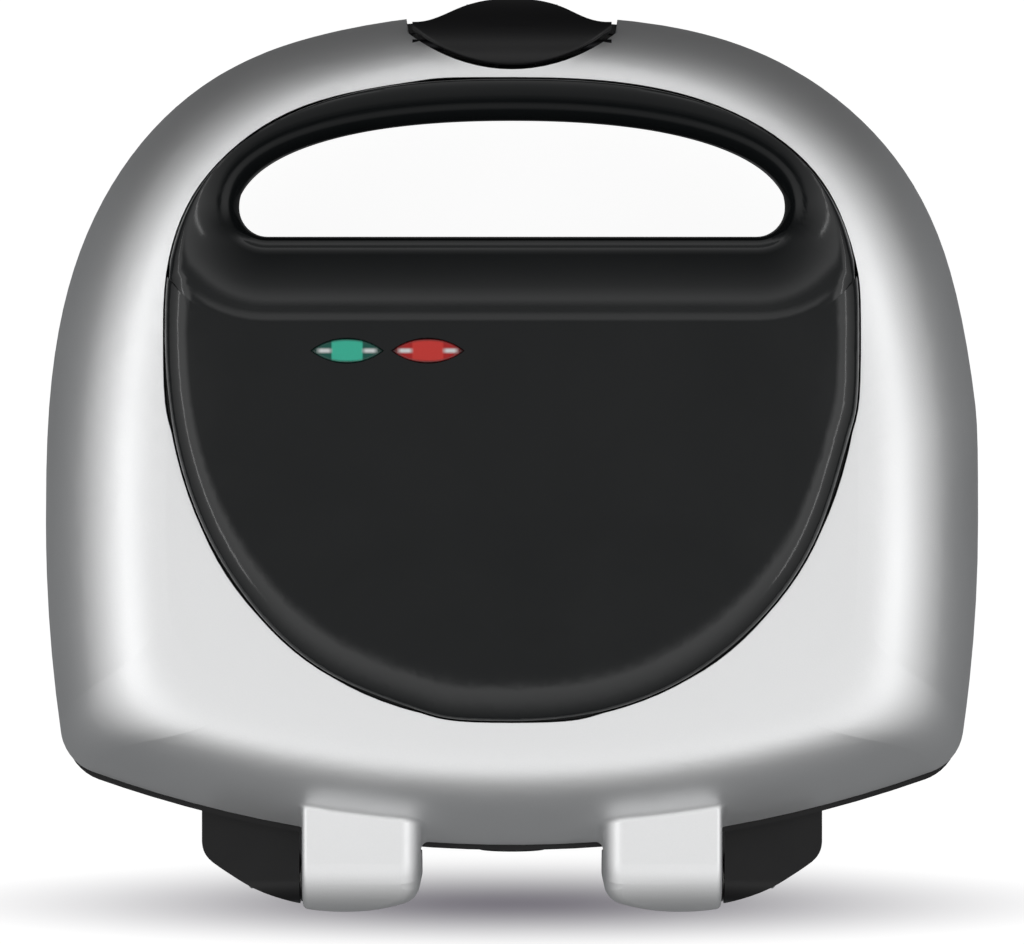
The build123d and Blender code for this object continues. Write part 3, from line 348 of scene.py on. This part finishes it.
# the round over the lip, the dip behind it and the crown at the panel's edge
ROLL_WIDTH = 0.0095
LIP_WIDTH = 0.0018
LIP_TURNS = (0.15, 0.95)
DIP_DEPTH = 0.006
DIP_START = 0.004
DIP_RUN = 0.017
DIP_CURVED = 0.9
DIP_STRAIGHT = 0.1
CROWN_RUN = 0.0052
CREST_SOFT = 0.0012
ROLL_REACH = 0.024
ROLL_RINGS = 26
ROLL_BLEND = (ROLL_REACH - 0.004, ROLL_REACH - 0.001)
ROLL_TUCK = 0.002
ROLL_SPACE_TOP = FIELD_Z + 0.01
# the hole's wall, which its mould draws wider downwards
HOLE_DRAFT = 0.077
LID_HOLE_CUT = (0.04, LIP_Z + 0.0001)
LID_WALL_Z = (0.0472, 0.075)
WALL_THICK = 0.001
WALL_PROUD = 0.0002
MERGE_WITHIN = 0.000002
SMOOTH_UNDER = radians(32)


def select_only(*pieces):
    """Selects these pieces alone, the first of them active."""
    bpy.ops.object.select_all(action="DESELECT")
    for piece in pieces:
        piece.select_set(True)
    bpy.context.view_layer.objects.active = pieces[0]


def new_piece(name, points, faces):
    """A new object with these points and faces."""
    mesh = bpy.data.meshes.new(name)
    mesh.from_pydata(points, [], faces)
    piece = bpy.data.objects.new(name, mesh)
    bpy.context.collection.objects.link(piece)
    return piece


def merged_copy(node):
    """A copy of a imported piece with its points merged."""
    piece = bpy.data.objects.new(node + "_skin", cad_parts[node].data.copy())
    bpy.context.collection.objects.link(piece)
    select_only(piece)
    bpy.ops.mesh.customdata_custom_splitnormals_clear()
    bpy.ops.object.mode_set(mode="EDIT")
    bpy.ops.mesh.select_all(action="SELECT")
    bpy.ops.mesh.remove_doubles(threshold=MERGE_WITHIN)
    bpy.ops.object.mode_set(mode="OBJECT")
    return piece


def change_by(piece, other, operation):
    """Cuts a closed form from a piece, or fuses the two, and removes the form."""
    bpy.context.view_layer.objects.active = piece
    change = piece.modifiers.new("change", "BOOLEAN")
    change.operation = operation
    change.object = other
    change.solver = "EXACT"
    bpy.ops.object.modifier_apply(modifier="change")
    bpy.data.objects.remove(other)


def join_into(piece, *parts):
    """Makes these parts of a piece, their surfaces as they are."""
    select_only(piece, *parts)
    bpy.ops.object.join()


def stand_for(piece, node, body, material):
    """Smooths a changed copy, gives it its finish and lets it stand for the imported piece."""
    select_only(piece)
    bpy.ops.object.shade_smooth_by_angle(angle=SMOOTH_UNDER)
    piece.data.materials.clear()
    piece.data.materials.append(material)
    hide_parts(node)
    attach(piece, body)


def hole_edge():
    """Points round the finger hole's lip, each with the direction that leads away from it."""
    edge = []
    for step in range(1, FRONT_STEPS):
        turn = pi * step / FRONT_STEPS
        across, ahead = cos(turn), sin(turn)
        x = GRIP_HALF * (abs(across) ** (2 / GRIP_POWER)) * (1 if across > 0 else -1)
        y = GRIP_FRONT * ahead ** (2 / GRIP_POWER)
        away_x = abs(x / GRIP_HALF) ** (GRIP_POWER - 1) / GRIP_HALF * (1 if x > 0 else -1)
        away_y = (y / GRIP_FRONT) ** (GRIP_POWER - 1) / GRIP_FRONT
        size = sqrt(away_x**2 + away_y**2)
        edge.append((x, GRIP_WIDEST - y, away_x / size, -away_y / size))
    centre_x = GRIP_HALF - GRIP_CORNER
    back_y = GRIP_WIDEST + GRIP_CORNER
    quarter = [pi / 2 * step / CORNER_STEPS for step in range(CORNER_STEPS + 1)]
    for turn in quarter:
        x = -centre_x - GRIP_CORNER * cos(turn)
        edge.append((x, GRIP_WIDEST + GRIP_CORNER * sin(turn), -cos(turn), sin(turn)))
    for step in range(1, BACK_STEPS):
        edge.append((-centre_x + 2 * centre_x * step / BACK_STEPS, back_y, 0, 1))
    for turn in quarter:
        x = centre_x + GRIP_CORNER * sin(turn)
        edge.append((x, GRIP_WIDEST + GRIP_CORNER * cos(turn), sin(turn), cos(turn)))
    return edge


def beyond_panel(x, y):
    """Over zero outside the panel's outline, below zero inside."""
    reach, power = PANEL_ENDS[0] if y < PANEL_WIDEST else PANEL_ENDS[1]
    return abs(x / PANEL_HALF) ** power + abs((y - PANEL_WIDEST) / reach) ** power - 1


def run_to_outline(x, y, away_x, away_y):
    """How far it is from the lip to the panel's outline in this direction."""
    near, far = 0.0, OUTLINE_SOUGHT
    for _ in range(OUTLINE_HALVINGS):
        middle = (near + far) / 2
        if beyond_panel(x + away_x * middle, y + away_y * middle) > 0:
            far = middle
        else:
            near = middle
    return near


def smooth_share(value, low, high):
    """From 0 at the low value to 1 at the high one, with soft ends."""
    share = min(1, max(0, (value - low) / (high - low)))
    return share * share * (3 - 2 * share)


def quarter_round(share):
    """A round's height over its start, both as shares of its radius."""
    return sqrt(1 - (1 - min(1, max(0, share))) ** 2)


def roll_height(away, left, behind):
    """Height over the table, this far from the lip and from the panel's outline."""
    dip = min(1, max(0, (away - DIP_START) / DIP_RUN))
    field = FIELD_Z - DIP_DEPTH * (DIP_CURVED * (1 - dip) ** 2 + DIP_STRAIGHT * (1 - dip))
    width = ROLL_WIDTH + (LIP_WIDTH - ROLL_WIDTH) * behind
    height = LIP_Z + (field - LIP_Z) * quarter_round(away / width)
    crown = EDGE_Z + (FIELD_Z - EDGE_Z) * quarter_round(left / CROWN_RUN)
    blend = max(0, CREST_SOFT - abs(height - crown)) / CREST_SOFT
    return min(height, crown) - blend * blend * CREST_SOFT / 4


def from_rows(name, rows, closed):
    """A form through rows of points that each run round the hole, with its faces outwards."""
    count = len(rows[0])
    pairs = range(len(rows) if closed else len(rows) - 1)
    faces = []
    for row in pairs:
        low, high = row * count, (row + 1) % len(rows) * count
        for k in range(count):
            faces.append((low + k, low + (k + 1) % count, high + (k + 1) % count, high + k))
    if not closed:
        last = (len(rows) - 1) * count
        faces += [tuple(reversed(range(count))), tuple(range(last, last + count))]
    piece = new_piece(name, [point for row in rows for point in row], faces)
    select_only(piece)
    bpy.ops.object.mode_set(mode="EDIT")
    bpy.ops.mesh.select_all(action="SELECT")
    bpy.ops.mesh.normals_make_consistent(inside=False)
    bpy.ops.object.mode_set(mode="OBJECT")
    return piece


def hole_row(heights, outwards=0.0):
    """The hole's wall at these heights, wider the lower it is, as its mould draws it."""
    row = []
    for height, (x, y, away_x, away_y) in zip(heights, lip):
        reach = (LIP_Z - height) * HOLE_DRAFT + outwards
        row.append((x + away_x * reach, y + away_y * reach, height))
    return row


def level(height):
    """The same height all round the hole."""
    return [height] * len(lip)


def hole_wall(name, lows, highs):
    """The thin wall round the hole between two rows of heights."""
    inner = [hole_row(highs), hole_row(lows)]
    outer = [hole_row(lows, WALL_THICK), hole_row(highs, WALL_THICK)]
    return from_rows(name, inner + outer, True)


def hole_space(low, high):
    """The space that the hole's wall leaves free, to be cut from what stood there."""
    rows = [hole_row(level(low), WALL_PROUD), hole_row(level(high), WALL_PROUD)]
    return from_rows("hole_space", rows, False)


black_gloss, shader = new_material("black_gloss")
touched = use_effect(shader, handled, Scale=22.0, Low=0.115, High=0.145)
skin = use_effect(shader, surface_grain, Scale=1500.0, Strength=0.05, Distance=0.0001)
two_tone(shader, touched["Mask"], GLOSS_TONES)
feed(shader, {"Roughness": touched["Value"], "Normal": skin["Normal"]})

panel = merged_copy("handle_panel")
lip = hole_edge()
corners = []
roll_outline = []
for x, y, away_x, away_y in lip:
    outline_run = run_to_outline(x, y, away_x, away_y)
    at_outline = outline_run < ROLL_REACH
    run = min(ROLL_REACH, outline_run)
    past = run + PAST_OUTLINE if at_outline else run
    roll_outline.append((x + away_x * past, y + away_y * past))
    behind = smooth_share(away_y, *LIP_TURNS)
    for ring in range(ROLL_RINGS + 1):
        away = run * (0.5 - 0.5 * cos(pi * ring / ROLL_RINGS))
        spot = (x + away_x * away, y + away_y * away)
        height = roll_height(away, outline_run - away, behind)
        if away > ROLL_BLEND[0]:
            found, panel_top = panel.ray_cast((*spot, OVERHEAD_Z), (0, 0, -1))[:2]
            if found and panel_top.z > TOP_FACE_OVER_Z:
                height += (panel_top.z - height) * smooth_share(away, *ROLL_BLEND)
        corners.append((*spot, height))
    foot_z = SKIRT_Z if at_outline else height - ROLL_TUCK
    corners.append((x + away_x * run, y + away_y * run, foot_z))

tall = ROLL_RINGS + 2
faces = []
for column in range(len(lip)):
    start, after = column * tall, (column + 1) % len(lip) * tall
    for ring in range(tall - 1):
        faces.append((start + ring, after + ring, after + ring + 1, start + ring + 1))
roll = new_piece("grip_roll", corners, faces)
if roll.data.polygons[ROLL_RINGS // 2].normal.z < 0:
    roll.data.flip_normals()
roll_rows = [[(*spot, height) for spot in roll_outline] for height in (LIP_Z, ROLL_SPACE_TOP)]
change_by(panel, from_rows("roll_space", roll_rows, False), "DIFFERENCE")
change_by(panel, hole_space(*LID_HOLE_CUT), "DIFFERENCE")
join_into(panel, roll, hole_wall("lid_hole", level(LID_WALL_Z[0]), level(LID_WALL_Z[1])))
stand_for(panel, "handle_panel", "lid", black_gloss)

# ---- Base
# The lower shell is a plain black moulding with the hinge lugs on it, a shade more matt, and
# so are the frames round both cooking plates and the cord's gland. The finger hole's wall runs
# on through it down to its underside.
MATTE_TONES = ((0.0045, 0.0045, 0.005, 1), (0.006, 0.006, 0.0065, 1))
BASE_TOP_Z = 0.0458
BASE_HOLE_CUT = (-0.01, 0.05)
BELOW_Z = -0.05
UNDERSIDE_AT_Z = 0.01
UNDERSIDE_BESIDE = 0.003
UNDERSIDE_ELSE = 0.02
WALL_SHORT = 0.0004
black_matte, shader = new_material("black_matte")
touched = use_effect(shader, handled, Scale=18.0, Low=0.31, High=0.37)
skin = use_effect(shader, surface_grain, Scale=900.0, Strength=0.08, Distance=0.0002)
two_tone(shader, touched["Mask"], MATTE_TONES)
feed(shader, {"Roughness": touched["Value"], "Normal": skin["Normal"]})
feed(shader, {"Specular IOR Level": 0.3})
for node in ("base_deck", "lid_liner", "cord_gland", "hinge_bushes"):
    finish_node(node, black_matte)
shell = merged_copy("base_shell")
floor_heights = []
for x, y, _ in hole_row(level(UNDERSIDE_AT_Z), UNDERSIDE_BESIDE):
    found, underside = shell.ray_cast((x, y, BELOW_Z), (0, 0, 1))[:2]
    floor_heights.append(underside.z + WALL_SHORT if found else UNDERSIDE_ELSE)
change_by(shell, hole_space(*BASE_HOLE_CUT), "DIFFERENCE")
join_into(shell, hole_wall("base_hole", floor_heights, level(BASE_TOP_Z)))
stand_for(shell, "base_shell", "base", black_matte)

# ---- Latch
# A lens-shaped lever in satin black ABS, let into the lid's front edge on a steel pin. Its top
# is one smooth face from the back edge to the tip.
NOTCH_X = (-0.009, 0.009)
NOTCH_Y = (-0.1140, -0.1090)
FILL_STEPS = 8
FILL_DEPTH = 0.0012
FILL_SUNK = 0.00003


def fill_in(piece, xs, ys, depth):
    """Fills a small opening in a piece's top flush with the surface beside it."""
    count = FILL_STEPS + 1
    top = []
    for column in range(count):
        for row in range(count):
            x = xs[0] + (xs[1] - xs[0]) * column / FILL_STEPS
            y = ys[0] + (ys[1] - ys[0]) * row / FILL_STEPS
            beside = piece.ray_cast((xs[0], y, OVERHEAD_Z), (0, 0, -1))[1]
            top.append((x, y, beside.z - FILL_SUNK))
    under = count**2
    points = top + [(x, y, z - depth) for x, y, z in top]
    faces = []
    for column in range(FILL_STEPS):
        for row in range(FILL_STEPS):
            low = column * count + row
            square = (low, low + count, low + count + 1, low + 1)
            faces += [square, tuple(under + corner for corner in reversed(square))]
    rim = [(column, 0) for column in range(count)]
    rim += [(FILL_STEPS, row) for row in range(1, count)]
    rim += [(column, FILL_STEPS) for column in range(FILL_STEPS - 1, -1, -1)]
    rim += [(0, row) for row in range(FILL_STEPS - 1, 0, -1)]
    rim = [column * count + row for column, row in rim]
    for corner, after in zip(rim, rim[1:] + rim[:1]):
        faces.append((after, corner, under + corner, under + after))
    change_by(piece, new_piece("fill", points, faces), "UNION")


lever = merged_copy("latch_lever")
fill_in(lever, NOTCH_X, NOTCH_Y, FILL_DEPTH)
stand_for(lever, "latch_lever", "latch", black_matte)

# ---- Rubber feet
# Four soft moulded feet pressed into the base, dull and a little dusty.
RUBBER_TONES = ((0.016, 0.016, 0.016, 1), (0.035, 0.034, 0.032, 1))
rubber, shader = new_material("rubber")
dust = use_effect(shader, handled, Scale=90.0, Low=0.7, High=0.85)
skin = use_effect(shader, surface_grain, Scale=600.0, Strength=0.25, Distance=0.0003)
two_tone(shader, dust["Mask"], RUBBER_TONES)
feed(shader, {"Roughness": dust["Value"], "Normal": skin["Normal"]})
feed(shader, {"Specular IOR Level": 0.25})
finish_node("rubber_feet", rubber)

# ---- Cooking plates
# Cast aluminium with a black non-stick coat, which has a fine orange peel and pale flecks.
# Four sunk screws near its corners hold each plate to the pillars behind it.
NONSTICK_TONES = ((0.015, 0.015, 0.016, 1), (0.05, 0.05, 0.052, 1))
FLECK_SCALE = 900.0
FLECK_EDGE = (0.16, 0.08)
nonstick, shader = new_material("nonstick")
baked = use_effect(shader, handled, Scale=26.0, Low=0.36, High=0.5)
peel = use_effect(shader, surface_grain, Scale=700.0, Strength=0.15, Distance=0.0003)
tree = nonstick.node_tree
spots = add_node(tree, "TexVoronoi", {"Vector": object_place(tree), "Scale": FLECK_SCALE})
two_tone(shader, share_between(tree, spots.outputs["Distance"], *FLECK_EDGE), NONSTICK_TONES)
feed(shader, {"Roughness": baked["Value"], "Normal": peel["Normal"]})
for node in ("lower_plate", "upper_plate"):
    finish_node(node, nonstick)

# ---- Bright metal
# Zinc-plated screws and hinge pins, and trays of bright aluminised steel behind the elements,
# with the lines of the rolling mill in them.
ZINC_TONES = ((0.58, 0.58, 0.55, 1), (0.68, 0.68, 0.66, 1))
MILL_TONES = ((0.66, 0.66, 0.66, 1), (0.78, 0.78, 0.77, 1))
LINE_STRETCH = (1.0, 40.0, 40.0)
drawn_lines, given, result = effect_group(
    "drawn_lines",
    {"Scale": 60.0, "Low": 0.25, "High": 0.4},
    {"Value": "Float", "Normal": "Vector"},
)
stretch = add_node(drawn_lines, "Mapping", {
    "Vector": object_place(drawn_lines),
    "Scale": LINE_STRETCH,
})
streaks = add_node(drawn_lines, "TexNoise", {
    "Vector": stretch.outputs["Vector"],
    "Scale": given["Scale"],
    "Detail": 2.0,
}).outputs["Fac"]
levels = add_node(drawn_lines, "MapRange", {
    "Value": streaks,
    "To Min": given["Low"],
    "To Max": given["High"],
})
bump = add_node(drawn_lines, "Bump", {"Strength": 0.15, "Distance": 0.0001, "Height": streaks})
feed(result, {"Value": levels.outputs["Result"], "Normal": bump.outputs["Normal"]})

screws = [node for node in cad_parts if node.endswith("_screws")]
for name, tones, metal_nodes in (
    ("zinc_steel", ZINC_TONES, ("hinge_pins", *screws)),
    ("mill_steel", MILL_TONES, ("lower_reflector", "upper_reflector", "thermostat")),
):
    metal, shader = new_material(name)
    lines = use_effect(shader, drawn_lines, Scale=60.0, Low=0.24, High=0.42)
    tarnish = use_effect(shader, handled, Scale=45.0)
    two_tone(shader, tarnish["Mask"], tones)
    feed(shader, {"Metallic": 1.0, "Roughness": lines["Value"], "Normal": lines["Normal"]})
    for node in metal_nodes:
        finish_node(node, metal)

# ---- Dark metal
# The elements' sheaths are blued by heat, and the latch's pin and spring are of black spring
# steel, so that neither shows in the lid's edge.
SHEATH_TONES = ((0.10, 0.085, 0.07, 1), (0.16, 0.15, 0.17, 1))
SPRING_TONES = ((0.012, 0.012, 0.013, 1), (0.02, 0.02, 0.022, 1))
HEAT_SPREAD = 0.08
for name, tones, dullness, metal_nodes in (
    ("heated_sheath", SHEATH_TONES, 0.42, ("lower_heater", "upper_heater")),
    ("black_steel", SPRING_TONES, 0.45, ("latch_pin", "latch_spring")),
):
    metal, shader = new_material(name)
    low, high = dullness - HEAT_SPREAD, dullness + HEAT_SPREAD
    heat = use_effect(shader, handled, Scale=60.0, Low=low, High=high)
    scale = use_effect(shader, surface_grain, Scale=1200.0, Strength=0.12, Distance=0.0001)
    two_tone(shader, heat["Mask"], tones)
    feed(shader, {"Metallic": 0.8, "Roughness": heat["Value"], "Normal": scale["Normal"]})
    for node in metal_nodes:
        finish_node(node, metal)

# ---- Insulators
# The terminal block is of unglazed cream porcelain, and the lamps stand in a holder of natural
# nylon.
PORCELAIN_TONES = ((0.62, 0.58, 0.50, 1), (0.74, 0.71, 0.64, 1))
NYLON_TONES = ((0.58, 0.57, 0.51, 1), (0.68, 0.67, 0.62, 1))
CLOUD_SPREAD = 0.06
for name, tones, dullness, node in (
    ("porcelain", PORCELAIN_TONES, 0.5, "terminal_block"),
    ("nylon", NYLON_TONES, 0.4, "lamp_holder"),
):
    insulator, shader = new_material(name)
    low, high = dullness - CLOUD_SPREAD, dullness + CLOUD_SPREAD
    cloud = use_effect(shader, handled, Scale=120.0, Low=low, High=high)
    skin = use_effect(shader, surface_grain, Scale=1400.0, Strength=0.15, Distance=0.0002)
    two_tone(shader, cloud["Mask"], tones)
    feed(shader, {"Roughness": cloud["Value"], "Normal": skin["Normal"]})
    finish_node(node, insulator)

# ---- Indicator lamps
# Clear tinted lenses over small neon lamps. Each lens is palest over its lamp and dark at the
# rim, where the edge of its window shows through it, with a painted highlight in each end.
LENS_PLACE_Y = -0.0274
POWER_X = 0.0218
READY_X = 0.0427
LENS_HALF = (0.00945, 0.00325)
RIM_EDGE = (0.72, 0.92)
PRISM_EDGE = (0.40, 0.45)
# the painted highlight in each end of a lens: its width, place, length and tone
HIGHLIGHT_SIDES = (0.26, 0.06)
HIGHLIGHT_MIDDLE = 0.62
HIGHLIGHT_ENDS = (0.24, 0.10)
HIGHLIGHT_TONE = (0.92, 0.95, 0.95, 1)
RED = ((0.78, 0.055, 0.045, 1), (0.55, 0.02, 0.02, 1), (0.03, 0.001, 0.002, 1))
GREEN = ((0.06, 0.62, 0.43, 1), (0.01, 0.12, 0.09, 1), (0.002, 0.02, 0.015, 1))
NEON_TONES = ((0.85, 0.55, 0.32, 1), (0.95, 0.80, 0.66, 1))
for name, centre_x, (pale, tint, rim) in (("power", POWER_X, RED), ("ready", READY_X, GREEN)):
    lens, shader = new_material(name + "_lens")
    tree = lens.node_tree
    # the lens's own oval: 0 at its centre, 1 at its edge
    from_centre = add_node(tree, "Mapping", {
        "Vector": object_place(tree),
        "Location": (centre_x, LENS_PLACE_Y, 0),
        "Scale": (*LENS_HALF, 1),
    }, vector_type="TEXTURE").outputs["Vector"]
    flat = add_node(tree, "VectorMath", {0: from_centre, 1: (1, 1, 0)}, operation="MULTIPLY")
    away = add_node(tree, "VectorMath", {0: flat.outputs["Vector"]}, operation="LENGTH")
    ends = add_node(tree, "SeparateXYZ", {0: from_centre}).outputs
    lengthwise = calculate(tree, "ABSOLUTE", ends["X"])
    crosswise = calculate(tree, "ABSOLUTE", ends["Y"])
    # pale over the lamp and deeper at both ends, then dark at the rim
    end_share = share_between(tree, lengthwise, *PRISM_EDGE)
    rim_share = share_between(tree, away.outputs["Value"], *RIM_EDGE)
    colour = blend_colour(tree, end_share, pale, tint)
    colour = blend_colour(tree, rim_share, colour, rim)
    # a short painted highlight in each end of the lens
    past_highlight = calculate(tree, "SUBTRACT", lengthwise, HIGHLIGHT_MIDDLE)
    along = share_between(tree, calculate(tree, "ABSOLUTE", past_highlight), *HIGHLIGHT_ENDS)
    across = share_between(tree, crosswise, *HIGHLIGHT_SIDES)
    painted_highlight = calculate(tree, "MULTIPLY", across, along)
    ripple = use_effect(shader, surface_grain, Scale=420.0, Strength=0.2, Distance=0.0004)
    feed(shader, {
        "Base Color": blend_colour(tree, painted_highlight, colour, HIGHLIGHT_TONE),
        "Roughness": 0.07,
        "IOR": 1.49,
        "Normal": ripple["Normal"],
        "Transmission Weight": 0.25,
    })
    finish_node(name + "_lens", lens)

neon_glass, shader = new_material("neon_glass")
feed(shader, {"Roughness": 0.05, "Transmission Weight": 0.7})
two_tone(shader, use_effect(shader, handled, Scale=200.0)["Mask"], NEON_TONES)
for node in ("power_lamp", "ready_lamp"):
    finish_node(node, neon_glass)

low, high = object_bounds()
